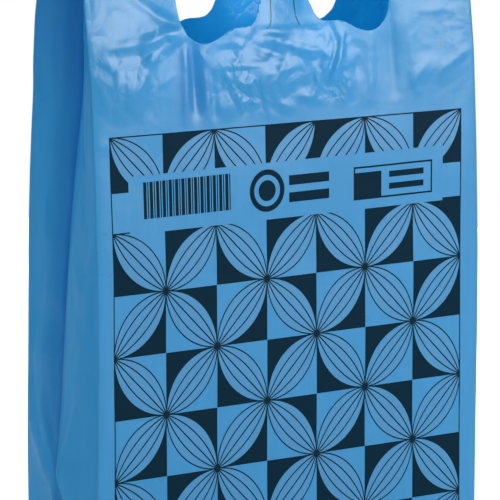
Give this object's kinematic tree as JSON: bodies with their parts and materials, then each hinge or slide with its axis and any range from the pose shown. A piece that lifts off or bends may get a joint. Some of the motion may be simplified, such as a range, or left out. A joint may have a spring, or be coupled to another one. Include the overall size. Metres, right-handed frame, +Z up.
{
  "type": "plastic carrier bag",
  "caption": "Vest-style carrier bag of thin blue plastic film, standing open, with side gussets, a cut neck with a centre tab, and a handle at each side.",
  "frame": {"origin": "under the middle of the bag, at the height of the flat base on which it stands", "axes": "+Z up to the handles, +X along the width of the front panel, the front panel faces -Y"},
  "size_m": [0.3152, 0.0798, 0.5],
  "materials": {
    "blue_film": "glossy, slightly see-through film"
  },
  "bodies": {
    "root": {"carrier_bag": "blue_film"}
  },
  "joints": []
}
